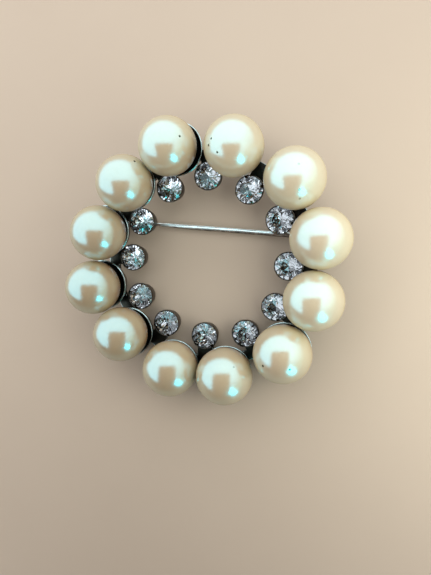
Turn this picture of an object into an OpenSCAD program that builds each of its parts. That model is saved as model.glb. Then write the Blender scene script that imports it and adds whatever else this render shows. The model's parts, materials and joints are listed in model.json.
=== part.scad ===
// Circle brooch. Pearls stand on pegs in open cups round a flat ring, and a claw-set stone
// stands inside each gap between two pearls. On the back a pin stem turns on a riveted
// joint and closes into a catch with a turning lock.
// The wreath is drawn flat, with z = 0 on the top face of the ring and the stem along X,
// and then laid on its back as it rests on a table: on the joint, the catch and one setting.

/* [Pearls] */
// Diameter of a pearl
pearl_d = 8.0; // [7.4:0.1:8.0]
// Radius of the circle that the pearl cups stand on
cup_circle_r = 16.4; // [16.4:0.1:17.4]
// Radius of a cup at its rim
cup_rim_r = 3.8; // [3.65:0.05:3.85]
// Radius of a cup at its foot
cup_foot_r = 3.25; // [3.1:0.05:3.3]
// Height of a cup
cup_h = 1.95; // [1.8:0.05:2.1]
// Height of a pearl's centre above the rim of its cup
pearl_rise = 2.6; // [2.4:0.05:2.8]

/* [Stones] */
// Diameter of a stone
stone_d = 3.8; // [3.4:0.1:3.8]
// Radius of the circle that the stones stand on
stone_circle_r = 11.9; // [11.5:0.1:11.9]
// Height of a stone's flat top above the ring
stone_top = 1.2; // [1.0:0.05:1.4]
// Depth of a setting below the top face of the ring
setting_depth = 1.5; // [1.4:0.05:1.6]

/* [Ring] */
// Inner radius of the flat ring
ring_inner_r = 14.5; // [14.3:0.1:14.7]
// Outer radius of the flat ring
ring_outer_r = 16.0; // [15.8:0.1:16.4]
// Thickness of the flat ring
ring_t = 0.7; // [0.6:0.05:0.9]

/* [Pin] */
// Distance of the stem from the middle of the wreath
stem_y = 4.7; // [4.6:0.05:4.8]
// Depth of the stem's axis below the top face of the ring
stem_depth = 2.45; // [2.4:0.05:2.6]
// Diameter of the stem where it is straight
stem_d = 0.76; // [0.7:0.02:0.8]
// Length of the stem's taper
taper_l = 14.5; // [12:0.5:16]
// How far the point stands out of the catch
point_out = 0.8; // [0.5:0.1:1.5]
// Outer radius of the catch's barrel; the joint's ears reach as low
knuckle_r = 1.15; // [1.1:0.05:1.2]

/* [Hidden] */
$fn = 64;
hair = 0.03; // running clearance on a radius
over = 1; // how far a cutter runs past a face

// Hand-set wander of each piece from its even place: [along the ring, outwards]
pearl_wander = [
    [0.5, -0.05], [-0.4, -0.3], [-0.9, 0.55], [-0.5, 0.35], [0, 0], [0.3, 0.5],
    [0, -0.1], [0.3, -0.4], [-0.45, -0.15], [0.05, 0.5], [0.45, -0.6], [0.3, -0.9]
];
cup_wander = [
    [0.15, -0.05], [-0.1, 0], [-0.6, 0.35], [-0.3, 0.2], [0, 0], [0.3, 0.5],
    [-0.3, 0], [0, -0.1], [-0.2, -0.1], [0, 0.3], [0.2, -0.25], [0.4, -0.6]
];
stone_wander = [
    [-0.1, 0.1], [0.1, 0.3], [-0.1, 0], [0.1, 0.3], [-0.2, 0.1], [-0.1, 0.2],
    [0.2, 0.2], [0, -0.6], [-0.4, -0.3], [-0.1, 0.2], [0, -0.1], [0.4, -0.2]
];
count = len(pearl_wander);
step_a = 360 / count;
first_pearl_a = 107.8;
first_stone_a = first_pearl_a + step_a / 2;

// Pearl, peg and cup
pearl_r = pearl_d / 2;
cup_wall = 0.22;
cup_floor = 0.25;
cup_corner = 0.35; // chamfered corner at the foot
pearl_z = cup_h + pearl_rise;
peg_r = 0.4;
peg_point_h = 0.06;
bore_r = peg_r + 0.05;
bore_depth = 3.2;
peg_end_gap = 0.3;
pad_r = 2.8; // pad of the ring below each cup

// Stone and setting
stone_r = stone_d / 2;
crown_h = 0.6;
table_r = 1.05;
girdle_t = 0.12;
pavilion_h = 1.5;
culet_r = 0.15;
girdle_top = stone_top - crown_h;
girdle_low = girdle_top - girdle_t;
seat_gap = 0.05; // between a stone and its setting
setting_wall = 0.12;
setting_rim_r = stone_r + seat_gap + setting_wall;
setting_foot_r = 1.7;
setting_wall_low = girdle_low - 0.3; // the setting is straight above this height
setting_flare = (setting_rim_r - setting_foot_r) / (setting_wall_low + setting_depth);
notch_r = setting_foot_r + setting_flare * setting_depth + 0.01; // in the ring, round a setting
setting_floor = 0.3;
claw_count = 4;
claw_w = 0.5;
claw_t = 0.14;
claw_reach = 0.35; // how far a claw bends in over the crown
tab_w = 2.4;

// Joint
hinge_x = cup_circle_r - 0.5;
ear_gap = 1.0;
ear_t = 0.45;
foot_t = 0.5;
eye_r = 0.9;
eye_w = ear_gap - 0.12;
rivet_r = 0.35;
rivet_head_r = 0.6;
rivet_head_t = 0.2;
neck_l = 1.7;
neck_r = 0.43;

// Catch
catch_x = -15.8;
barrel_l = 1.7;
barrel_bore_r = 0.82;
mouth_w = 0.95; // the barrel's mouth, where the stem comes in
lock_r = barrel_bore_r - hair;
lock_bore_r = 0.4;
lock_slot_w = 0.7;
collar_r = 1.08;
inner_collar_t = 0.3;
outer_collar_t = 0.5;
end_gap = 0.05;
lever_r = 2.1;
lever_w = 0.5;
lever_a = -25; // from +Y towards +Z, with the lock open

// Stem
point_r = 0.08;
stem_r = stem_d / 2;
catch_end_x = catch_x - barrel_l / 2 - end_gap - outer_collar_t;
point_x = catch_end_x - point_out;
taper_x = point_x + taper_l;

function spot(r, a, wander) =
    (r + wander[1]) * [cos(a), sin(a)] + wander[0] * [-sin(a), cos(a)];
function cup_at(i) = spot(cup_circle_r, first_pearl_a - i * step_a, cup_wander[i]);
function pearl_at(i) = spot(cup_circle_r, first_pearl_a - i * step_a, pearl_wander[i]);
function stone_at(i) = spot(stone_circle_r, first_stone_a - i * step_a, stone_wander[i]);
function stone_a(i) = atan2(stone_at(i)[1], stone_at(i)[0]);

// Line that a pearl's peg stands along, from the middle of the cup's floor to the pearl's centre
function peg_line(i) = [pearl_at(i)[0] - cup_at(i)[0], pearl_at(i)[1] - cup_at(i)[1], pearl_z - cup_floor];
function lean_a(i) = acos(peg_line(i)[2] / norm(peg_line(i)));
function lean_to(i) = atan2(peg_line(i)[1], peg_line(i)[0]);

// The lowest setting's foot and the round knuckles touch the table together
low = search(min([for (i = [0 : count - 1]) stone_at(i)[1]]), [for (i = [0 : count - 1]) stone_at(i)[1]])[0];
lever_arm = stem_y - stone_at(low)[1] + setting_foot_r;
drop = stem_depth - setting_depth;
rest_tilt = asin(knuckle_r / norm([lever_arm, drop])) + atan2(drop, lever_arm);
lift = knuckle_r + stem_depth * cos(rest_tilt) - stem_y * sin(rest_tilt);
shift_y = pearl_z * sin(rest_tilt);
ear_r = (knuckle_r - (ear_gap / 2 + ear_t) * sin(rest_tilt)) / cos(rest_tilt);

function numbered(name, i) = str(name, i < 9 ? "_0" : "_", i + 1);
function numbered_all(name) = [for (i = [0 : count - 1]) numbered(name, i)];

// Lays the flat wreath on its back
module at_rest() {
    translate([0, shift_y, lift])
        rotate([rest_tilt, 0, 0])
            children();
}

// Stands a shape at a place in the wreath
module stand(place, z = 0) {
    translate([place[0], place[1], z])
        children();
}

// A cylinder along X, centred on its length
module rod_x(r, l) {
    rotate([0, 90, 0])
        cylinder(r = r, h = l, center = true);
}

// A cylinder along Y, centred on its length
module rod_y(r, l) {
    rotate([90, 0, 0])
        cylinder(r = r, h = l, center = true);
}

// A ball drilled from below for its peg
module pearl(i) {
    color("cornsilk")
        at_rest()
            stand(pearl_at(i), pearl_z)
                rotate([0, lean_a(i), lean_to(i)])
                    difference() {
                        sphere(r = pearl_r);
                        translate([0, 0, -pearl_r - over])
                            cylinder(r = bore_r, h = bore_depth + over);
                    }
}

// The pegs that the pearls are glued to. A blunt point at the foot lets each lean to its own pearl.
module pearl_pegs() {
    color("darkgray")
        at_rest()
            for (i = [0 : count - 1])
                stand(cup_at(i), cup_floor)
                    rotate([0, lean_a(i), lean_to(i)])
                        rotate_extrude()
                            polygon([
                                [0, 0],
                                [peg_r, peg_point_h],
                                [peg_r, peg_length(i)],
                                [0, peg_length(i)]
                            ]);
}
function peg_length(i) = norm(peg_line(i)) - pearl_r + bore_depth - peg_end_gap;

// An open pan with walls that flare to a thin rim
module pearl_cup(i) {
    color("dimgray")
        at_rest()
            stand(cup_at(i))
                rotate_extrude()
                    polygon([
                        [0, 0],
                        [cup_foot_r - cup_corner, 0],
                        [cup_foot_r, cup_corner],
                        [cup_rim_r, cup_h],
                        [cup_rim_r - cup_wall, cup_h],
                        [cup_foot_r - cup_wall, cup_corner + cup_floor],
                        [cup_foot_r - cup_wall - cup_corner, cup_floor],
                        [0, cup_floor]
                    ]);
}

// A pointed-back round stone
module stone(i) {
    color("whitesmoke")
        at_rest()
            stand(stone_at(i))
                rotate_extrude()
                    polygon([
                        [0, girdle_low - pavilion_h],
                        [culet_r, girdle_low - pavilion_h],
                        [stone_r, girdle_low],
                        [stone_r, girdle_top],
                        [table_r, stone_top],
                        [0, stone_top]
                    ]);
}

// The closed cup of a setting, hollowed to the stone's own cone
module setting_cup() {
    rotate_extrude()
        polygon([
            [0, -setting_depth],
            [setting_foot_r, -setting_depth],
            [setting_rim_r, setting_wall_low],
            [setting_rim_r, girdle_top],
            [stone_r + seat_gap, girdle_top],
            [stone_r + seat_gap, girdle_low - seat_gap],
            [culet_r + seat_gap, girdle_low - pavilion_h - seat_gap],
            [0, girdle_low - pavilion_h - seat_gap]
        ]);
}

// One claw, which stands on the cup's rim and bends in over the crown
module claw() {
    crown_slope = crown_h / (stone_r - table_r);
    inner_r = stone_r + seat_gap;
    tip_r = inner_r - claw_reach;
    tip_z = girdle_top + claw_reach * crown_slope;
    intersection() {
        rotate_extrude()
            polygon([
                [inner_r, girdle_top],
                [setting_rim_r, girdle_top],
                [setting_rim_r, girdle_top + claw_t],
                [tip_r, tip_z + claw_t],
                [tip_r, tip_z]
            ]);
        translate([0, -claw_w / 2, girdle_top - over])
            cube([setting_rim_r + over, claw_w, 2 * over + crown_h]);
    }
}

// A claw setting
module stone_setting(i) {
    color("gray")
        at_rest()
            stand(stone_at(i))
                rotate([0, 0, stone_a(i)])
                    union() {
                        setting_cup();
                        for (k = [0 : claw_count - 1])
                            rotate([0, 0, (k + 0.5) * 360 / claw_count])
                                claw();
                    }
}

// The flat ring, with a pad below each cup and a notched tab for each setting
module frame_ring() {
    color("slategray")
        at_rest()
            translate([0, 0, -ring_t])
                linear_extrude(ring_t)
                    difference() {
                        union() {
                            difference() {
                                circle(r = ring_outer_r, $fn = 180);
                                circle(r = ring_inner_r, $fn = 180);
                            }
                            for (i = [0 : count - 1])
                                translate(cup_at(i))
                                    circle(r = pad_r);
                            for (i = [0 : count - 1])
                                rotate(stone_a(i))
                                    translate([norm(stone_at(i)), -tab_w / 2])
                                        square([ring_inner_r + ring_t - norm(stone_at(i)), tab_w]);
                        }
                        for (i = [0 : count - 1])
                            translate(stone_at(i))
                                circle(r = notch_r);
                    }
}

// The soldered foot of the joint, with two ears for the rivet
module joint_base() {
    foot_w = ear_gap + 2 * ear_t + 0.5;
    color("slategray")
        at_rest()
            translate([hinge_x, stem_y, 0])
                difference() {
                    union() {
                        translate([-ear_r, -foot_w / 2, -ring_t - foot_t])
                            cube([2 * ear_r, foot_w, foot_t]);
                        for (side = [-1, 1])
                            translate([0, side * (ear_gap + ear_t) / 2, -stem_depth])
                                rod_y(ear_r, ear_t);
                        for (side = [-1, 1])
                            translate([-ear_r, side * (ear_gap + ear_t) / 2 - ear_t / 2, -stem_depth])
                                cube([2 * ear_r, ear_t, stem_depth - ring_t]);
                    }
                    translate([0, 0, -stem_depth])
                        rod_y(rivet_r, foot_w + over);
                }
}

// The rivet that the stem turns on, closed over with a flat head at each end
module joint_rivet() {
    head_y = ear_gap / 2 + ear_t + rivet_head_t / 2;
    color("silver")
        at_rest()
            translate([hinge_x, stem_y, -stem_depth])
                union() {
                    rod_y(rivet_r, 2 * head_y);
                    for (side = [-1, 1])
                        translate([0, side * head_y, 0])
                            rod_y(rivet_head_r, rivet_head_t);
                }
}

// The stem: an eye on the rivet, a flared neck, a straight length and a long taper to the point
module pin_stem() {
    straight_l = hinge_x - neck_l - taper_x;
    color("silver")
        at_rest()
            translate([0, stem_y, -stem_depth])
                difference() {
                    union() {
                        translate([hinge_x, 0, 0])
                            rod_y(eye_r, eye_w);
                        translate([hinge_x - neck_l, 0, 0])
                            rotate([0, 90, 0])
                                cylinder(r1 = stem_r, r2 = neck_r, h = neck_l - eye_r / 2);
                        translate([taper_x + straight_l / 2, 0, 0])
                            rod_x(stem_r, straight_l);
                        translate([point_x, 0, 0])
                            rotate([0, 90, 0])
                                cylinder(r1 = point_r, r2 = stem_r, h = taper_l);
                    }
                    translate([hinge_x, 0, 0])
                        rod_y(rivet_r + hair, eye_w + over);
                }
}

// The catch: a foot, a web and a barrel whose mouth lets the stem in from behind
module catch_base() {
    foot_w = 2 * knuckle_r;
    color("slategray")
        at_rest()
            translate([catch_x, stem_y, 0])
                difference() {
                    union() {
                        translate([-barrel_l / 2, -foot_w / 2, -ring_t - foot_t])
                            cube([barrel_l, foot_w, foot_t]);
                        translate([-barrel_l / 2, -mouth_w / 2, -stem_depth])
                            cube([barrel_l, mouth_w, stem_depth - ring_t]);
                        translate([0, 0, -stem_depth])
                            rod_x(knuckle_r, barrel_l);
                    }
                    translate([0, 0, -stem_depth])
                        rod_x(barrel_bore_r, barrel_l + over);
                    translate([-barrel_l, -mouth_w / 2, -stem_depth - knuckle_r - over])
                        cube([2 * barrel_l, mouth_w, knuckle_r + over]);
                }
}

// The lock that turns in the barrel: a slotted sleeve with a collar at each end and a lever
module catch_lock() {
    inner_x = barrel_l / 2 + end_gap;
    outer_x = -inner_x - outer_collar_t / 2;
    sleeve_l = barrel_l + 2 * end_gap;
    lock_l = sleeve_l + inner_collar_t + outer_collar_t;
    color("silver")
        at_rest()
            translate([catch_x, stem_y, -stem_depth])
                difference() {
                    union() {
                        rod_x(lock_r, sleeve_l);
                        translate([inner_x + inner_collar_t / 2, 0, 0])
                            rod_x(collar_r, inner_collar_t);
                        translate([outer_x, 0, 0])
                            rod_x(collar_r, outer_collar_t);
                        translate([outer_x, 0, 0])
                            rotate([lever_a, 0, 0]) {
                                translate([-outer_collar_t / 2, 0, -lever_w / 2])
                                    cube([outer_collar_t, lever_r - lever_w / 2, lever_w]);
                                translate([0, lever_r - lever_w / 2, 0])
                                    rod_x(lever_w / 2, outer_collar_t);
                            }
                    }
                    rod_x(lock_bore_r, lock_l + over);
                    translate([-lock_l, -lock_slot_w / 2, -collar_r - over])
                        cube([2 * lock_l, lock_slot_w, collar_r + over]);
                }
}

for (i = [0 : count - 1]) {
    pearl(i);
    pearl_cup(i);
    stone(i);
    stone_setting(i);
}
frame_ring();
pearl_pegs();
joint_base();
joint_rivet();
pin_stem();
catch_base();
catch_lock();
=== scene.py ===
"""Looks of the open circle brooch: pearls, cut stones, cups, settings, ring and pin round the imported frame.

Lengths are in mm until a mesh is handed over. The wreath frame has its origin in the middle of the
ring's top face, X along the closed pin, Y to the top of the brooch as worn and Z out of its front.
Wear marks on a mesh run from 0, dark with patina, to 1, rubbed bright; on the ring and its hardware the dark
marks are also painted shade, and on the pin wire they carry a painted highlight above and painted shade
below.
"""

import json
import math
import random

import bmesh
import bpy
from mathutils import Matrix, Vector, noise


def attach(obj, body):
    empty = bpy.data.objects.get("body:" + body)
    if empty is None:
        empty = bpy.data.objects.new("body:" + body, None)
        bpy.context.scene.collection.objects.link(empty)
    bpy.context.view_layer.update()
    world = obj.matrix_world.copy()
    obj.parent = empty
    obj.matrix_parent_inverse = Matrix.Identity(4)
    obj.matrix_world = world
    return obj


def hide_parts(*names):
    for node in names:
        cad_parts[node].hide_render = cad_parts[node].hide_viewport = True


MM = 0.001
COUNT = 12
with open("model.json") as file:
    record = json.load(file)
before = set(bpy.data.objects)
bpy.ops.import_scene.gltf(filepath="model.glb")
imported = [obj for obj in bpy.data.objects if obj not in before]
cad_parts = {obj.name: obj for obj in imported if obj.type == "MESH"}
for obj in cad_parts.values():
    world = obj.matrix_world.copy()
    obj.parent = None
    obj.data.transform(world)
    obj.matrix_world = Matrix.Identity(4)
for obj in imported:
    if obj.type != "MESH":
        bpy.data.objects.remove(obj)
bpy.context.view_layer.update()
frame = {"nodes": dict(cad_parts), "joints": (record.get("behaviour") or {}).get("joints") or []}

# Sizes that the CAD boxes don't give, in mm
HINGE_AT = Vector((15.9, 4.7, -2.45))
CUP_FLOOR = 0.25
CUP_WALL = 0.22
CUP_FOOT_R = 3.25
CUP_CORNER = 0.35
CUP_INNER_CORNER = 0.25
CUP_DENTS = 0.035
PEARL_BORE_R = 0.45
PEARL_BORE_DEPTH = 3.2
PEARL_LIP_R = 0.53
SETTING_WALL = 0.1
SETTING_FOOT_R = 1.7
SETTING_CORNER = 0.1
SETTING_STRAIGHT_FROM = 0.18
SEAT_GAP = 0.04
CROWN_H = 0.6
GIRDLE_H = 0.12
TABLE_R = 1.05
CLAW_REACH = 0.48
CLAW_HALF_W = 0.25
CLAW_TIP_HALF_W = 0.16
CLAW_SOFT = 0.04
STEM_R = 0.38
POINT_R = 0.08
POINT_X = -18.0
TAPER_X = -3.5
NECK_L = 1.7
NECK_R = 0.43
EYE_R = 0.9
EYE_W = 0.88
EYE_BORE_R = 0.38
EYE_SOFT = 0.09

# How far the star facets reach from the table to the girdle, and where the pavilion's inner facets end,
# as a share of the stone's radius
STAR_SHARE = 0.42
KEEL_SHARE = 0.42

# Outline of a claw from the rim, in (outwards, up), drawn as a hook that leans in over the stone
CLAW_OUTLINE = [
    (0.0, -0.20), (0.0, 0.05), (-0.05, 0.15), (-0.26, 0.285), (-CLAW_REACH + 0.05, 0.375),
    (-CLAW_REACH, 0.35), (-0.47, 0.262), (-0.30, 0.155), (-0.13, 0.04), (-0.10, -0.20),
]

# Painted light on the pearls: they are painted paler to the right and to the top and darker to the left and
# bottom, as the light falls off across the brooch; the level in the middle, and its change per mm
PAINTED_LIGHT_MIDDLE = 0.89
PAINTED_LIGHT_PER_X = 0.0080
PAINTED_LIGHT_PER_Y = 0.0055

# Wear marks of the ring, the bases, the rivet and the lock; the mark of their other faces is dark, tarnish
# and painted shade together
EDGE_WEAR = 0.90
BACK_WEAR = 0.66
FACE_WEAR_AND_SHADE = 0.38

# The cup with green corrosion, and where it is from the middle of the cup's foot
GREEN_CUP = 10
GREEN_AT = (3.5, -1.6, 1.8)


# ---------------------------------------------------------------- the wreath frame

def wreath_matrix():
    hinge = next(j for j in frame["joints"] if j["name"] == "pin_hinge")
    across = Vector((1, 0, 0))
    up = -Vector(hinge["axis"]).normalized()
    turn = Matrix((across, up, across.cross(up))).transposed().to_4x4()
    return Matrix.Translation(Vector(hinge["pos_m"]) - turn @ HINGE_AT * MM) @ turn


WREATH = wreath_matrix()


def span(node):
    """Lowest and highest corner of a CAD node in the wreath frame, in mm."""
    into = WREATH.inverted()
    points = [into @ v.co / MM for v in frame["nodes"][node].data.vertices]
    low = Vector([min(p[i] for p in points) for i in range(3)])
    high = Vector([max(p[i] for p in points) for i in range(3)])
    return low, high


def place(centre, turn=None):
    """World matrix of a piece whose own origin sits at a point of the wreath frame."""
    local = Matrix.Translation(Vector(centre) * MM)
    return WREATH @ local @ (turn.to_4x4() if turn else Matrix())


# ---------------------------------------------------------------- mesh helpers

def arc(centre, radius, start, end, steps, wear_and_shade=0.0):
    """Points of an arc in (radius, height), angles in degrees, with a wear mark."""
    points = []
    for k in range(steps + 1):
        a = math.radians(start + (end - start) * k / steps)
        points.append((centre[0] + radius * math.cos(a), centre[1] + radius * math.sin(a), wear_and_shade))
    return points


def lathe(profile, segments=96, closed=False, bm=None):
    """Turns (radius, height, wear) points about Z: from axis to axis, or closed on itself as a ring."""
    bm = bm or bmesh.new()
    wear_and_shade = bm.verts.layers.float.get("wear_and_shade") or bm.verts.layers.float.new("wear_and_shade")
    rings = []
    for radius, height, mark in profile:
        ring = []
        for k in range(segments if radius > 1e-6 else 1):
            a = 2 * math.pi * k / segments
            v = bm.verts.new((radius * math.cos(a), radius * math.sin(a), height))
            v[wear_and_shade] = mark
            ring.append(v)
        rings.append(ring)
    followers = rings[1:] + ([rings[0]] if closed else [])
    faces = []
    for a, b in zip(rings, followers):
        for k in range(segments):
            n = k + 1
            corners = (a[k % len(a)], a[n % len(a)], b[n % len(b)], b[k % len(b)])
            faces.append(bm.faces.new(list(dict.fromkeys(corners))))
    bmesh.ops.recalc_face_normals(bm, faces=faces)
    return bm


def dent(bm, amount, scale, seed):
    """Moves points a little by smooth noise, as hand-worked sheet metal has it. The seed isn't 0."""
    noise.seed_set(seed)
    for v in bm.verts:
        v.co += noise.noise_vector(v.co * scale) * amount


def add_piece(name, bm, matrix, body, materials, stands_for, sharp):
    """Makes the object in metres, hands it to its body and hides the CAD node it stands for.

    Edges are sharp past the given angle in degrees, and with an angle of 0 every face is flat."""
    mesh = bpy.data.meshes.new(name)
    bm.transform(matrix.to_3x3().to_4x4() @ Matrix.Scale(MM, 4))
    bm.to_mesh(mesh)
    bm.free()
    for m in materials:
        mesh.materials.append(m)
    for p in mesh.polygons:
        p.use_smooth = sharp != 0
    if sharp:
        mesh.set_sharp_from_angle(angle=math.radians(sharp))
    made = bpy.data.objects.new(name, mesh)
    bpy.context.scene.collection.objects.link(made)
    made.matrix_world = Matrix.Translation(matrix.translation)
    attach(made, body)
    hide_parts(*stands_for)


# ---------------------------------------------------------------- material helpers

def node(tree, kind, inputs=None, **settings):
    """Adds a shader node; inputs are numbers, colours or other nodes' sockets."""
    made = tree.nodes.new("ShaderNode" + kind)
    for key, value in settings.items():
        setattr(made, key, value)
    for key, value in (inputs or {}).items():
        if isinstance(value, bpy.types.NodeSocket):
            tree.links.new(value, made.inputs[key])
        else:
            made.inputs[key].default_value = value
    return made


def material(name, **constants):
    """A Principled material with its constant sockets set. Returns (material, tree, shader)."""
    mat = bpy.data.materials.new(name)
    mat.use_nodes = True
    skin = mat.node_tree.nodes["Principled BSDF"]
    for key, value in constants.items():
        skin.inputs[key.replace("_", " ")].default_value = value
    return mat, mat.node_tree, skin


def object_mm(tree, shift=(0, 0, 0), stretch=(1, 1, 1)):
    """The piece's own coordinates in mm."""
    where = node(tree, "TexCoord").outputs["Object"]
    scale = [s / MM for s in stretch]
    return node(tree, "Mapping", {"Vector": where, "Location": shift, "Scale": scale}).outputs[0]


def grain(tree, where, scale, detail=3.0, rough=0.5):
    """A noise value from 0 to 1."""
    sockets = {"Vector": where, "Scale": scale, "Detail": detail, "Roughness": rough}
    return node(tree, "TexNoise", sockets).outputs[0]


def calc(tree, operation, a, b=0.0, clamp=False):
    return node(tree, "Math", {0: a, 1: b}, operation=operation, use_clamp=clamp).outputs[0]


def ease(tree, value, low, high, out_low=0.0, out_high=1.0):
    """Smooth step of a value from low to high."""
    sockets = {0: value, 1: low, 2: high, 3: out_low, 4: out_high}
    return node(tree, "MapRange", sockets, interpolation_type="SMOOTHSTEP").outputs[0]


def distance(tree, a, b):
    return node(tree, "VectorMath", {0: a, 1: b}, operation="DISTANCE").outputs["Value"]


def dot(tree, a, b):
    return node(tree, "VectorMath", {0: a, 1: b}, operation="DOT_PRODUCT").outputs["Value"]


def blend_colours(tree, share, a, b):
    sockets = {0: share, 6: a, 7: b}
    return node(tree, "Mix", sockets, data_type="RGBA").outputs[2]


def ramp(tree, value, stops):
    """A colour ramp through (position, colour) stops."""
    made = node(tree, "ValToRGB", {0: value})
    elements = made.color_ramp.elements
    while len(elements) < len(stops):
        elements.new(0.5)
    for element, (position, colour) in zip(elements, stops):
        element.position = position
        element.color = (*colour, 1.0)
    return made.outputs[0]


def bump(tree, skin, height, strength, distance_mm):
    sockets = {"Height": height, "Strength": strength, "Distance": distance_mm * MM}
    tree.links.new(node(tree, "Bump", sockets).outputs[0], skin.inputs["Normal"])


# ---------------------------------------------------------------- materials

# Pits in the lacquer that show as dark specks: pearl number to directions in the wreath frame
PITS = {
    1: [(0.68, 0.20, 0.70)],
    2: [(-0.54, 0.07, 0.84), (-0.63, -0.12, 0.77), (-0.30, -0.35, 0.89)],
    3: [(0.17, 0.31, 0.93), (0.26, -0.42, 0.87), (0.28, -0.67, 0.68)],
    6: [(0.36, -0.20, 0.91), (-0.51, -0.25, 0.82)],
    7: [(0.45, 0.60, 0.66)],
    12: [(0.56, 0.71, 0.42)],
}
FAINT_PITS = (3, 7)
PIT_COLOUR = (0.05, 0.035, 0.02, 1.0)
PIT_DARK_R = 0.09
PIT_R = 0.21
# Pearl colours from the cup end to the top; the dark brown cup end is partly aged lacquer and partly painted
# shade and painted reflection of the dark cup.
NACRE_AND_CUP_SHADE_STOPS = [
    (0.0, (0.20, 0.095, 0.03)),
    (0.35, (0.43, 0.24, 0.10)),
    (0.50, (0.63, 0.425, 0.235)),
    (0.64, (0.77, 0.59, 0.355)),
    (1.0, (0.82, 0.70, 0.50)),
]
ROSY = (0.74, 0.55, 0.40)
SMOKY = (0.60, 0.44, 0.27)


def darker(colour, share):
    """A colour times one share, or a share for each of red, green and blue."""
    shares = share if isinstance(share, tuple) else (share, share, share)
    return tuple(c * s for c, s in zip(colour, shares))


def nacre(number, pearl_r, axis, painted_light):
    """Imitation pearl: cream lacquer with a broad metallic lustre, browner towards the cup, partly aged
    lacquer and partly painted shade and painted reflection of the dark cup.

    A painted light level under 1 paints the pearl darker and browner: painted shade where less light falls."""
    mat, tree, skin = material(
        f"nacre_{number:02d}",
        IOR=2.15,
        Specular_IOR_Level=1.0,
        Specular_Tint=(0.46, 0.90, 1.0, 1.0),
        Coat_Weight=0.2,
        Coat_Roughness=0.13,
        Coat_IOR=1.5,
    )
    own = object_mm(tree)
    spread = object_mm(tree, shift=(number * 11.0, number * 5.0, number * 3.0))
    cloud = grain(tree, spread, 0.22, 2.0)
    mottle = grain(tree, spread, 1.6, 5.0, 0.6)
    # Browner towards the cup: partly aged lacquer, partly painted shade and painted reflection of the dark
    # cup.
    level = ease(tree, dot(tree, own, axis), -pearl_r, pearl_r)
    level = calc(tree, "ADD", level, calc(tree, "MULTIPLY", calc(tree, "SUBTRACT", mottle, 0.5), 0.10))
    # Painted shade: the whole pearl is darkened and browned by its painted light level.
    painted_shade_tint = (painted_light, painted_light ** 1.3, painted_light ** 1.6)
    cream = ramp(tree, level, [(at, darker(colour, painted_shade_tint)) for at, colour in NACRE_AND_CUP_SHADE_STOPS])
    clouded = ease(tree, cloud, 0.35, 0.7, 0.0, 0.35)
    rosy = blend_colours(tree, clouded, cream, (*darker(ROSY, painted_light), 1.0))
    mottled = ease(tree, mottle, 0.3, 0.75, 0.0, 0.12)
    shade = blend_colours(tree, mottled, rosy, (*darker(SMOKY, painted_light), 1.0))
    pits = None
    depth = 0.4 if number in FAINT_PITS else 1.0
    for direction in PITS.get(number, ()):
        spot = WREATH.to_3x3() @ Vector(direction).normalized() * pearl_r
        here = ease(tree, distance(tree, own, spot), PIT_DARK_R, PIT_R, depth, 0.0)
        pits = here if pits is None else calc(tree, "MAXIMUM", pits, here)
    if pits is not None:
        shade = blend_colours(tree, pits, shade, PIT_COLOUR)
        tree.links.new(pits, skin.inputs["Metallic"])
    tree.links.new(shade, skin.inputs["Base Color"])
    tree.links.new(ease(tree, mottle, 0.3, 0.7, 0.21, 0.27), skin.inputs["Roughness"])
    skin_height = grain(tree, spread, 3.2, 4.0)
    if pits is not None:
        skin_height = calc(tree, "SUBTRACT", skin_height, calc(tree, "MULTIPLY", pits, 6.0))
    bump(tree, skin, skin_height, 0.05, 0.01)
    return mat


def aged_metal(name, seed, stops, roughness, scratch=0.25, green_at=None):
    """Silver-toned plate: patina by the mesh's wear mark and noise, with fine scratches; on the ring and its
    hardware the dark marks also give painted shade.
    """
    mat, tree, skin = material(name, Metallic=1.0)
    where = object_mm(tree, shift=(seed * 9.0, seed * 4.0, seed * 2.0))
    wear_and_shade = node(tree, "Attribute", attribute_name="wear_and_shade").outputs["Fac"]
    patch = calc(tree, "SUBTRACT", grain(tree, where, 1.1, 5.0, 0.62), 0.5)
    level = calc(tree, "ADD", wear_and_shade, calc(tree, "MULTIPLY", patch, 0.55), clamp=True)
    colour = ramp(tree, level, stops)
    if green_at:
        away = distance(tree, object_mm(tree), green_at)
        spots = grain(tree, where, 2.4, 4.0, 0.7)
        near = calc(tree, "MULTIPLY", ease(tree, away, 1.2, 2.6, 1.0, 0.0), ease(tree, spots, 0.42, 0.58))
        colour = blend_colours(tree, near, colour, (0.012, 0.12, 0.10, 1.0))
        tree.links.new(ease(tree, near, 0.0, 1.0, 1.0, 0.1), skin.inputs["Metallic"])
    tree.links.new(colour, skin.inputs["Base Color"])
    tree.links.new(ease(tree, level, 0.0, 1.0, roughness[0], roughness[1]), skin.inputs["Roughness"])
    lines = grain(tree, object_mm(tree, stretch=(1, 9, 1)), 1.8, 3.0)
    crossing = grain(tree, object_mm(tree, stretch=(8, 1, 2)), 2.1, 3.0)
    marks = calc(tree, "ADD", lines, crossing)
    bump(tree, skin, calc(tree, "ADD", marks, calc(tree, "MULTIPLY", patch, 2.0)), scratch, 0.02)
    return mat


# Colours of the metals by wear mark; on the ring and its hardware the dark marks also stand for painted shade
CUP_STOPS = [
    (0.0, (0.006, 0.005, 0.005)),
    (0.30, (0.028, 0.023, 0.019)),
    (0.62, (0.15, 0.12, 0.095)),
    (1.0, (0.80, 0.78, 0.74)),
]
SETTING_STOPS = [
    (0.0, (0.010, 0.008, 0.007)),
    (0.35, (0.075, 0.052, 0.038)),
    (0.72, (0.22, 0.17, 0.135)),
    (1.0, (0.80, 0.78, 0.75)),
]
FRAME_STOPS = [
    (0.0, (0.010, 0.008, 0.007)),
    (0.42, (0.045, 0.037, 0.030)),
    (0.75, (0.20, 0.18, 0.16)),
    (1.0, (0.84, 0.83, 0.81)),
]


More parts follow.
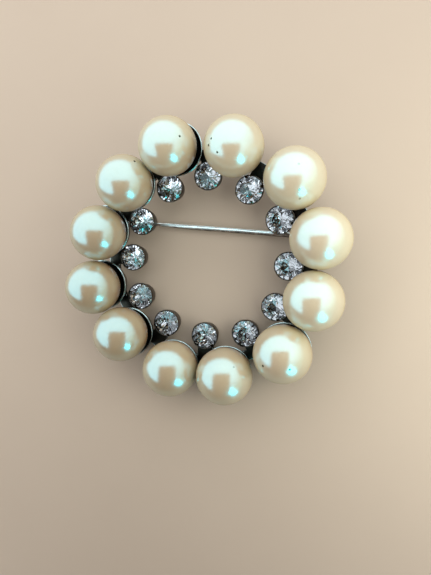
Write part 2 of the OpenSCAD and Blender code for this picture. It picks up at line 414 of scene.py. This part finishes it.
def drawn_steel():
    """Polished pin wire with marks from drawing along its length."""
    mat, tree, skin = material("drawn_steel", Metallic=1.0)
    along = grain(tree, object_mm(tree, stretch=(0.35, 9, 9)), 1.6, 4.0, 0.6)
    spots = grain(tree, object_mm(tree), 1.3, 5.0, 0.65)
    wear_and_shade = node(tree, "Attribute", attribute_name="wear_and_shade").outputs["Fac"]
    mixed = calc(tree, "ADD", wear_and_shade, calc(tree, "MULTIPLY", calc(tree, "SUBTRACT", spots, 0.5), 0.6))
    # The wire's colour follows its wear mark, which also carries a painted highlight on the upper front side
    # and painted shade on the lower back side.
    colour = ramp(tree, mixed, [
        (0.15, (0.03, 0.025, 0.02)),
        (0.36, (0.22, 0.18, 0.16)),
        (0.52, (0.80, 0.74, 0.71)),
        (0.80, (0.98, 0.93, 0.90)),
    ])
    tree.links.new(colour, skin.inputs["Base Color"])
    tree.links.new(ease(tree, along, 0.3, 0.7, 0.24, 0.38), skin.inputs["Roughness"])
    bump(tree, skin, along, 0.35, 0.03)
    return mat


def crystal():
    """The clear face of a stone, faintly rubbed."""
    mat, tree, skin = material("crystal", IOR=1.55, Transmission_Weight=1.0, Specular_IOR_Level=0.2)
    rub = grain(tree, object_mm(tree), 2.5, 5.0, 0.7)
    tint = blend_colours(tree, rub, (0.93, 0.96, 0.98, 1.0), (1.0, 1.0, 1.0, 1.0))
    tree.links.new(tint, skin.inputs["Base Color"])
    tree.links.new(ease(tree, rub, 0.72, 0.9, 0.0, 0.05), skin.inputs["Roughness"])
    return mat


def foil(number):
    """The silvered back of a stone, with dark spots where the foil has aged."""
    mat, tree, skin = material(f"foil_{number:02d}", Metallic=1.0)
    where = object_mm(tree, shift=(number * 6.0, number * 2.0, 0.0))
    age = grain(tree, where, 0.9, 4.0, 0.6)
    tint = ramp(tree, age, [
        (0.28, (0.30, 0.28, 0.26)),
        (0.38, (0.72, 0.73, 0.74)),
        (0.50, (0.93, 0.95, 0.97)),
        (0.75, (0.97, 0.98, 0.99)),
    ])
    tree.links.new(tint, skin.inputs["Base Color"])
    tree.links.new(ease(tree, age, 0.25, 0.35, 0.10, 0.0), skin.inputs["Roughness"])
    return mat


# ---------------------------------------------------------------- pieces

def pearl(number):
    """A ball with a softened blind hole below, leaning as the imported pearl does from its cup's foot."""
    node_name = f"pearl_{number:02d}"
    low, high = span(node_name)
    radius = (high.z - low.z) / 2
    centre = (low + high) / 2
    cup_low, cup_high = span(f"pearl_cup_{number:02d}")
    foot = Vector(((cup_low.x + cup_high.x) / 2, (cup_low.y + cup_high.y) / 2, cup_low.z + CUP_FLOOR))
    turn = (centre - foot).to_track_quat("Z", "Y").to_matrix()
    lip_angle = math.degrees(math.asin(PEARL_LIP_R / radius)) - 90
    lip_z = -math.sqrt(radius ** 2 - PEARL_LIP_R ** 2)
    bore_top = -radius + PEARL_BORE_DEPTH
    skin = [(0.0, radius, 0.0)] + arc((0, 0), radius, 88.5, lip_angle, 60)[:-1]
    skin += [(PEARL_LIP_R, lip_z, 0.0), (PEARL_BORE_R + 0.02, lip_z + 0.02, 0.0)]
    skin += [(PEARL_BORE_R, lip_z + 0.09, 0.0), (PEARL_BORE_R, bore_top, 0.0), (0.0, bore_top, 0.0)]
    bm = lathe(skin, 112)
    # Painted light: pearls to the right and top are painted paler, those to the left and bottom darker.
    painted_light = PAINTED_LIGHT_MIDDLE + PAINTED_LIGHT_PER_X * centre.x + PAINTED_LIGHT_PER_Y * centre.y
    finish = nacre(number, radius, WREATH.to_3x3() @ turn @ Vector((0, 0, 1)), painted_light)
    where = place(centre, turn)
    add_piece(f"bead_{number:02d}", bm, where, "wreath", [finish], [node_name], sharp=50)


def pearl_cup(number):
    """An open cup of thin sheet: a flat foot, a rounded corner, a flared wall and a rubbed rim."""
    node_name = f"pearl_cup_{number:02d}"
    low, high = span(node_name)
    rim_r = (high.x - low.x) / 2
    height = high.z - low.z
    middle = Vector(((low.x + high.x) / 2, (low.y + high.y) / 2, low.z))
    flare = math.degrees(math.atan2(rim_r - CUP_FOOT_R, height - CUP_CORNER))
    lip = CUP_WALL / 2
    outside = [(0.0, 0.0, 0.70), (1.2, 0.0, 0.68), (2.2, 0.0, 0.66)]
    outside += arc((CUP_FOOT_R - CUP_CORNER, CUP_CORNER), CUP_CORNER, -90, -flare, 7, 0.74)
    foot_x, foot_z, _ = outside[-1]
    for share, mark in ((0.25, 0.50), (0.5, 0.48), (0.75, 0.52), (0.94, 0.72)):
        outside.append((foot_x + (rim_r - foot_x) * share, foot_z + (height - lip - foot_z) * share, mark))
    rim = arc((rim_r - lip, height - lip), lip, -flare, 180 - flare, 8, 0.86)
    top_x, top_z, _ = rim[-1]
    inner_foot = CUP_FOOT_R - CUP_CORNER
    corner_at = (inner_foot - 0.02, CUP_FLOOR + CUP_INNER_CORNER)
    floor_arc = arc(corner_at, CUP_INNER_CORNER, -flare, -90, 6, 0.06)
    end_x, end_z, _ = floor_arc[0]
    inside = []
    for share, mark in ((0.07, 0.42), (0.2, 0.14), (0.45, 0.06), (0.75, 0.04)):
        inside.append((top_x + (end_x - top_x) * share, top_z + (end_z - top_z) * share, mark))
    floor = [(2.2, CUP_FLOOR, 0.06), (1.2, CUP_FLOOR, 0.08), (0.0, CUP_FLOOR, 0.08)]
    bm = lathe(outside + rim + inside + floor_arc + floor, 112)
    dent(bm, CUP_DENTS, 0.55, number)
    green = GREEN_AT if number == GREEN_CUP else None
    finish = aged_metal(f"cup_metal_{number:02d}", number, CUP_STOPS, (0.5, 0.2), 0.2, green)
    add_piece(f"cup_{number:02d}", bm, place(middle), "wreath", [finish], [node_name], sharp=60)


def cut_ring(bm, radius, height, count, first):
    """A ring of points at equal angles, first being the angle of point 0 in steps."""
    points = []
    for k in range(count):
        a = 2 * math.pi * (k + first) / count
        points.append(bm.verts.new((radius * math.cos(a), radius * math.sin(a), height)))
    return points


def stone(number, rng, clear):
    """A round brilliant: clear crown and girdle, silvered pavilion."""
    node_name = f"stone_{number:02d}"
    low, high = span(node_name)
    radius = (high.x - low.x) / 2
    middle = Vector(((low.x + high.x) / 2, (low.y + high.y) / 2, 0.0))
    girdle_top = high.z - CROWN_H
    girdle_low = girdle_top - GIRDLE_H
    flat = math.cos(math.pi / 8)
    bm = bmesh.new()
    table = cut_ring(bm, TABLE_R, high.z, 8, 0)
    star_r = TABLE_R + STAR_SHARE * (radius - TABLE_R)
    star_z = high.z - CROWN_H * (star_r * flat - TABLE_R) / (radius - TABLE_R)
    stars = cut_ring(bm, star_r, star_z, 8, 0.5)
    upper = cut_ring(bm, radius, girdle_top, 16, 0)
    lower = cut_ring(bm, radius, girdle_low, 16, 0)
    depth = girdle_low - low.z
    inner_r = KEEL_SHARE * radius
    inner_z = low.z + depth * inner_r * flat / radius
    keel = cut_ring(bm, inner_r, inner_z, 8, 0.5)
    culet = bm.verts.new((0.0, 0.0, low.z + 0.02))
    crown = [bm.faces.new(table)]
    back = []
    for k in range(8):
        n = (k + 1) % 8
        a, b, c = 2 * k, 2 * k + 1, (2 * k + 2) % 16
        crown.append(bm.faces.new((table[k], stars[k], table[n])))
        crown.append(bm.faces.new((table[k], stars[k - 1], upper[a], stars[k])))
        crown.append(bm.faces.new((stars[k], upper[a], upper[b])))
        crown.append(bm.faces.new((stars[k], upper[b], upper[c])))
        back.append(bm.faces.new((culet, keel[k], lower[a], keel[k - 1])))
        back.append(bm.faces.new((keel[k], lower[b], lower[a])))
        back.append(bm.faces.new((keel[k], lower[c], lower[b])))
    for k in range(16):
        n = (k + 1) % 16
        crown.append(bm.faces.new((upper[k], lower[k], lower[n], upper[n])))
    for face in back:
        face.material_index = 1
    bmesh.ops.recalc_face_normals(bm, faces=bm.faces)
    turn = Matrix.Rotation(rng.uniform(0, math.tau), 3, "Z")
    add_piece(
        f"chaton_{number:02d}", bm, place(middle, turn), "wreath",
        [clear, foil(number)], [node_name], sharp=0,
    )


def claw(bm, wear_and_shade, angle, base, rim_r, rng):
    """One prong: an outline in (radius, height) drawn out sideways, narrower at its tip, and rounded."""
    lean = rng.uniform(-0.05, 0.05)
    sides = []
    for side in (-1, 1):
        row = []
        for dr, dz in CLAW_OUTLINE:
            narrowing = (CLAW_HALF_W - CLAW_TIP_HALF_W) * min(1.0, -dr / CLAW_REACH)
            width = CLAW_HALF_W - narrowing + rng.uniform(-0.01, 0.01)
            r = rim_r + dr
            a = angle + (side * width + lean * -dr) / r
            v = bm.verts.new((r * math.cos(a), r * math.sin(a), base + dz))
            v[wear_and_shade] = 0.72 if dz > 0.1 else 0.35
            row.append(v)
        sides.append(row)
    left, right = sides
    faces = [bm.faces.new(left), bm.faces.new(right)]
    for k in range(len(CLAW_OUTLINE)):
        n = (k + 1) % len(CLAW_OUTLINE)
        faces.append(bm.faces.new((left[k], left[n], right[n], right[k])))
    bmesh.ops.recalc_face_normals(bm, faces=faces)
    edges = list(dict.fromkeys(e for f in faces[:2] for e in f.edges))
    bmesh.ops.bevel(
        bm, geom=edges, offset=CLAW_SOFT, segments=2, profile=0.5, affect="EDGES", clamp_overlap=True
    )


def setting(number, rng):
    """A closed cone cup that follows the stone's back, a rolled rim and four claws."""
    node_name = f"stone_setting_{number:02d}"
    stone_low, stone_high = span(f"stone_{number:02d}")
    low = span(node_name)[0]
    middle = Vector(((stone_low.x + stone_high.x) / 2, (stone_low.y + stone_high.y) / 2, 0.0))
    stone_r = (stone_high.x - stone_low.x) / 2
    inner = stone_r + SEAT_GAP
    rim_r = inner + SETTING_WALL
    lip = SETTING_WALL / 2
    girdle_top = stone_high.z - CROWN_H
    seat_z = girdle_top - GIRDLE_H - SEAT_GAP
    cone_z = stone_low.z - SEAT_GAP
    outside = [(0.0, low.z, 0.66), (1.2, low.z, 0.66)]
    corner_at = (SETTING_FOOT_R - SETTING_CORNER, low.z + SETTING_CORNER)
    outside += arc(corner_at, SETTING_CORNER, -90, -15, 4, 0.75)
    foot_x, foot_z, _ = outside[-1]
    for share, mark in ((0.3, 0.30), (0.6, 0.22), (0.9, 0.26)):
        height = foot_z + (SETTING_STRAIGHT_FROM - foot_z) * share
        outside.append((foot_x + (rim_r - foot_x) * share, height, mark))
    outside += [(rim_r, SETTING_STRAIGHT_FROM, 0.28), (rim_r, girdle_top - lip - 0.12, 0.34)]
    rim = arc((rim_r - lip, girdle_top - lip), lip, 0, 180, 8, 0.5)
    inside = [(inner, girdle_top - lip - 0.03, 0.2), (inner, seat_z, 0.1)]
    inside += [(inner * 0.5, (seat_z + cone_z) / 2, 0.05), (0.12, cone_z, 0.05), (0.0, cone_z, 0.05)]
    bm = lathe(outside + rim + inside, 96)
    wear_and_shade = bm.verts.layers.float["wear_and_shade"]
    radial = math.atan2(middle.y, middle.x)
    for k in range(4):
        claw(bm, wear_and_shade, radial + (k + 0.5) * math.pi / 2, girdle_top, rim_r + 0.02, rng)
    finish = aged_metal(f"setting_metal_{number:02d}", number + 20, SETTING_STOPS, (0.42, 0.2), 0.2)
    add_piece(
        f"bezel_{number:02d}", bm, place(middle), "wreath",
        [finish], [node_name], sharp=45,
    )


def worn_shaded_copy(node_name, body, finish, edge):
    """A CAD part with its sharp edges rounded by the given width and rubbed bright, its back a little; its
    other faces are dark with tarnish and painted shade.
    """
    bm = bmesh.new()
    bm.from_mesh(frame["nodes"][node_name].data)
    bm.transform(Matrix.Scale(1 / MM, 4) @ WREATH.inverted())
    bmesh.ops.remove_doubles(bm, verts=bm.verts, dist=1e-4)
    bmesh.ops.dissolve_limit(bm, angle_limit=math.radians(1.0), verts=bm.verts, edges=bm.edges)
    corners = [e for e in bm.edges if len(e.link_faces) == 2 and e.calc_face_angle(0) > math.radians(35)]
    rounded = bmesh.ops.bevel(
        bm, geom=corners, offset=edge, segments=2, profile=0.5, affect="EDGES", clamp_overlap=True
    )
    rubbed = set(rounded["faces"])
    wear_and_shade = bm.loops.layers.float.new("wear_and_shade")
    for face in bm.faces:
        # Painted shade: the faces that don't look to the back get the dark mark, on top of their tarnish.
        plain = BACK_WEAR if face.normal.z < -0.5 else FACE_WEAR_AND_SHADE
        for corner in face.loops:
            corner[wear_and_shade] = EDGE_WEAR if face in rubbed else plain
    bmesh.ops.triangulate(bm, faces=[f for f in bm.faces if len(f.verts) > 4])
    add_piece(node_name + "_worn_shaded", bm, WREATH.copy(), body, [finish], [node_name], sharp=30)


def stem(finish):
    """The pin: drawn wire with a long taper, a flared neck and a pierced eye, with a painted highlight along
    its upper front side and painted shade along its lower back side.
    """
    length = HINGE_AT.x - EYE_R / 2
    wire = [(0.0, POINT_X, 1.0), (POINT_R * 0.6, POINT_X + 0.02, 1.0), (POINT_R, POINT_X + 0.08, 1.0)]
    for k in range(1, 13):
        share = k / 12
        wire.append((POINT_R + (STEM_R - POINT_R) * share, POINT_X + (TAPER_X - POINT_X) * share, 0.8))
    neck_from = HINGE_AT.x - NECK_L
    for k in range(1, 21):
        wire.append((STEM_R, TAPER_X + (neck_from - TAPER_X) * k / 20, 0.7))
    wire.append(((STEM_R + NECK_R) / 2, (neck_from + length) / 2, 0.4))
    wire += [(NECK_R, length, 0.2), (0.0, length, 0.2)]
    bm = lathe(wire, 48)
    bmesh.ops.rotate(bm, verts=bm.verts, matrix=Matrix.Rotation(math.pi / 2, 3, "Y"))
    wire_points = set(bm.verts)
    outer = EYE_R - EYE_SOFT
    inner = EYE_BORE_R + EYE_SOFT
    level = EYE_W / 2 - EYE_SOFT
    eye = arc((outer, level), EYE_SOFT, 0, 90, 4, 0.5)
    eye += arc((inner, level), EYE_SOFT, 90, 180, 4, 0.1)
    eye += arc((inner, -level), EYE_SOFT, 180, 270, 4, 0.1)
    eye += arc((outer, -level), EYE_SOFT, 270, 360, 4, 0.5)
    lathe(eye, 64, closed=True, bm=bm)
    wear_and_shade = bm.verts.layers.float["wear_and_shade"]
    # Painted highlight and painted shade: the wire's mark is raised on its upper front side and lowered on
    # its lower back side.
    for v in wire_points:
        painted_light_side = (0.9 * v.co.y + 0.45 * v.co.z) / STEM_R
        v[wear_and_shade] *= 0.70 + 0.5 * max(-1.0, min(1.0, painted_light_side))
    ring = [v for v in bm.verts if v not in wire_points]
    bmesh.ops.rotate(bm, verts=ring, matrix=Matrix.Rotation(math.pi / 2, 3, "X"))
    bmesh.ops.translate(bm, verts=ring, vec=(HINGE_AT.x, 0, 0))
    where = place((0, HINGE_AT.y, HINGE_AT.z))
    add_piece("pin_wire", bm, where, "stem", [finish], ["pin_stem"], sharp=50)


def build_brooch():
    """All pieces. The hidden pegs stay as the CAD has them, in the plate's metal."""
    rng = random.Random(12)
    clear = crystal()
    for number in range(1, COUNT + 1):
        pearl(number)
        pearl_cup(number)
        stone(number, rng, clear)
        setting(number, rng)
    plate = aged_metal("frame_plate", 40, FRAME_STOPS, (0.45, 0.22))
    worn_shaded_copy("frame_ring", "wreath", plate, 0.05)
    worn_shaded_copy("joint_base", "wreath", plate, 0.04)
    worn_shaded_copy("catch_base", "wreath", plate, 0.04)
    worn_shaded_copy("joint_rivet", "wreath", plate, 0.04)
    worn_shaded_copy("catch_lock", "lock", plate, 0.04)
    stem(drawn_steel())
    pegs = frame["nodes"]["pearl_pegs"]
    pegs.data.materials.clear()
    pegs.data.materials.append(plate)


# ---------------------------------------------------------------- studio

# The camera's place, view and lens, fitted to the photograph
CAMERA_AT = Vector((17.64, 5.52, 61.33))
LOOK = Vector((-0.2509, -0.1464, -0.9569)).normalized()
UP = Vector((-0.1098, 0.9864, -0.1221))
LENS = 26.98
SENSOR_W = 36.0

FLOOR_HALF = 1500

# The dark card stands this far behind the camera; its outline is in the camera's right and up
CARD_BACK = 3.0
CARD_OUTLINE = [(-62, 11), (-72, -47), (-180, -240), (60, -240), (39, -115), (26, -35), (26, 11)]

# Light of the window and of the room, as reflections show it and as it falls on matt surfaces,
# and what the camera sees behind the floor
WINDOW_REFLECTED = (1.6, 2.3, 2.5, 1.0)
WINDOW_SOFT = (1.35, 1.33, 1.30, 1.0)
ROOM_REFLECTED = (0.14, 0.10, 0.075, 1.0)
ROOM_REFLECTED_RIGHT = (0.78, 0.98, 0.80, 1.0)
ROOM_SOFT = (0.30, 0.275, 0.25, 1.0)
BACKDROP = (0.72, 0.70, 0.67, 1.0)


def camera_turn():
    """Columns are the camera's own axes in the wreath frame: right, up and back."""
    back = -LOOK
    right = UP.cross(back).normalized()
    return Matrix((right, back.cross(right), back)).transposed()


def add_camera():
    data = bpy.data.cameras.new("photo_camera")
    data.lens = LENS
    data.sensor_width = SENSOR_W
    data.clip_start = 0.001
    data.clip_end = 10.0
    made = bpy.data.objects.new("photo_camera", data)
    bpy.context.scene.collection.objects.link(made)
    made.matrix_world = WREATH @ Matrix.Translation(CAMERA_AT * MM) @ camera_turn().to_4x4()
    bpy.context.scene.camera = made


def add_floor():
    """A plain pale table top that can be looked through from below."""
    bm = bmesh.new()
    bmesh.ops.create_grid(bm, x_segments=8, y_segments=8, size=FLOOR_HALF)
    bm.transform(Matrix.Scale(MM, 4))
    mesh = bpy.data.meshes.new("floor")
    bm.to_mesh(mesh)
    bm.free()
    mat, tree, skin = material("pale_floor", Roughness=0.9, Specular_IOR_Level=0.0)
    fine = grain(tree, object_mm(tree), 0.05, 6.0, 0.6)
    colour = blend_colours(tree, fine, (0.60, 0.51, 0.42, 1.0), (0.64, 0.55, 0.455, 1.0))
    tree.links.new(colour, skin.inputs["Base Color"])
    behind = node(tree, "NewGeometry").outputs["Backfacing"]
    gone = node(tree, "BsdfTransparent").outputs[0]
    either = node(tree, "MixShader", {0: behind, 1: skin.outputs[0], 2: gone}).outputs[0]
    tree.links.new(either, tree.nodes["Material Output"].inputs["Surface"])
    mesh.materials.append(mat)
    floor = bpy.data.objects.new("floor", mesh)
    bpy.context.scene.collection.objects.link(floor)


def add_panel(name, centre, aim, size, colour, power, beam=180, in_gloss=True):
    """A soft rectangular light in the wreath frame, in mm and degrees. It isn't seen directly.

    It shows either in glossy reflections only, brightest in its middle, or in diffuse light only."""
    data = bpy.data.lights.new(name, "AREA")
    data.shape = "RECTANGLE"
    data.size, data.size_y = size[0] * MM, size[1] * MM
    data.color = colour
    data.energy = power
    data.spread = math.radians(beam)
    made = bpy.data.objects.new(name, data)
    bpy.context.scene.collection.objects.link(made)
    facing = (Vector(aim) - Vector(centre)).to_track_quat("-Z", "Y").to_matrix()
    made.matrix_world = place(centre, facing)
    made.visible_camera = False
    made.visible_transmission = False
    made.visible_diffuse = not in_gloss
    made.visible_glossy = in_gloss
    if in_gloss:
        data.use_nodes = True
        tree = data.node_tree
        where = node(tree, "TexCoord").outputs["UV"]
        away = distance(tree, where, (0.5, 0.5, 0.0))
        tree.links.new(ease(tree, away, 0.0, 0.5, 1.0, 0.0), tree.nodes["Emission"].inputs["Strength"])


def add_card():
    """A dark card behind the camera, whose reflection shades the middle of each pearl."""
    bm = bmesh.new()
    bm.faces.new([bm.verts.new((x, y, CARD_BACK)) for x, y in CARD_OUTLINE])
    bm.transform(Matrix.Scale(MM, 4))
    mesh = bpy.data.meshes.new("card")
    bm.to_mesh(mesh)
    bm.free()
    mat = material("card_black", Roughness=0.8, Base_Color=(0.10, 0.07, 0.055, 1.0))[0]
    mesh.materials.append(mat)
    card = bpy.data.objects.new("card", mesh)
    bpy.context.scene.collection.objects.link(card)
    card.matrix_world = WREATH @ Matrix.Translation(CAMERA_AT * MM) @ camera_turn().to_4x4()
    card.visible_camera = False
    card.visible_transmission = False


def facing_share(tree, direction, axis, low, high):
    """How much a sky direction leans towards an axis of the wreath frame, eased from low to high."""
    world_axis = WREATH.to_3x3() @ Vector(axis).normalized()
    return ease(tree, dot(tree, direction, world_axis), low, high)


def sparkle(tree, direction):
    """What the cut stones throw back: small bright lamps and windows against a dim room."""
    patches = node(tree, "TexVoronoi", {"Vector": direction, "Scale": 1.9}).outputs["Color"]
    pick = node(tree, "SeparateXYZ", {0: patches}).outputs[0]
    return ramp(tree, pick, [
        (0.0, (0.010, 0.010, 0.011)),
        (0.30, (0.045, 0.045, 0.05)),
        (0.46, (0.24, 0.25, 0.26)),
        (0.64, (0.52, 0.54, 0.56)),
        (0.74, (2.6, 2.75, 2.85)),
    ])


def add_sky():
    """Studio dome: a wide cool window above and to the left, a dim warm room, plain for the camera."""
    world = bpy.data.worlds.new("studio")
    world.use_nodes = True
    bpy.context.scene.world = world
    tree = world.node_tree
    direction = node(tree, "TexCoord").outputs["Generated"]
    path = node(tree, "LightPath").outputs
    above = facing_share(tree, direction, (-0.13, 0.68, 0.72), -0.03, 0.05)
    leftward = facing_share(tree, direction, (-0.61, 0.50, 0.61), -0.80, 0.42)
    overhead = facing_share(tree, direction, (0.0, 0.0, 1.0), -0.30, 0.12)
    window = calc(tree, "MULTIPLY", calc(tree, "MULTIPLY", above, leftward), overhead)
    rightward = facing_share(tree, direction, (1.0, 0.25, 0.15), 0.1, 0.9)
    dim = blend_colours(tree, rightward, ROOM_REFLECTED, ROOM_REFLECTED_RIGHT)
    reflected = blend_colours(tree, window, dim, WINDOW_REFLECTED)
    soft = blend_colours(tree, window, ROOM_SOFT, WINDOW_SOFT)
    light = blend_colours(tree, path["Is Glossy Ray"], soft, reflected)
    light = blend_colours(tree, path["Is Transmission Ray"], light, sparkle(tree, direction))
    shown = blend_colours(tree, path["Is Camera Ray"], light, BACKDROP)
    background = tree.nodes["Background"]
    tree.links.new(shown, background.inputs["Color"])
    background.inputs["Strength"].default_value = 1.0


def add_studio():
    add_camera()
    add_floor()
    add_card()
    add_sky()
    add_panel(
        "screen_glow", centre=(78, -89, 60), aim=(20, 3, 6), size=(72, 200),
        colour=(0.06, 0.88, 1.0), power=0.125, beam=80,
    )
    add_panel(
        "warm_fill", centre=(52, 2, 40), aim=(8, 0, 4), size=(40, 50),
        colour=(0.95, 0.96, 0.83), power=0.018, in_gloss=False,
    )
    view = bpy.context.scene.view_settings
    view.view_transform = "Standard"
    view.look = "None"


add_studio()
build_brooch()
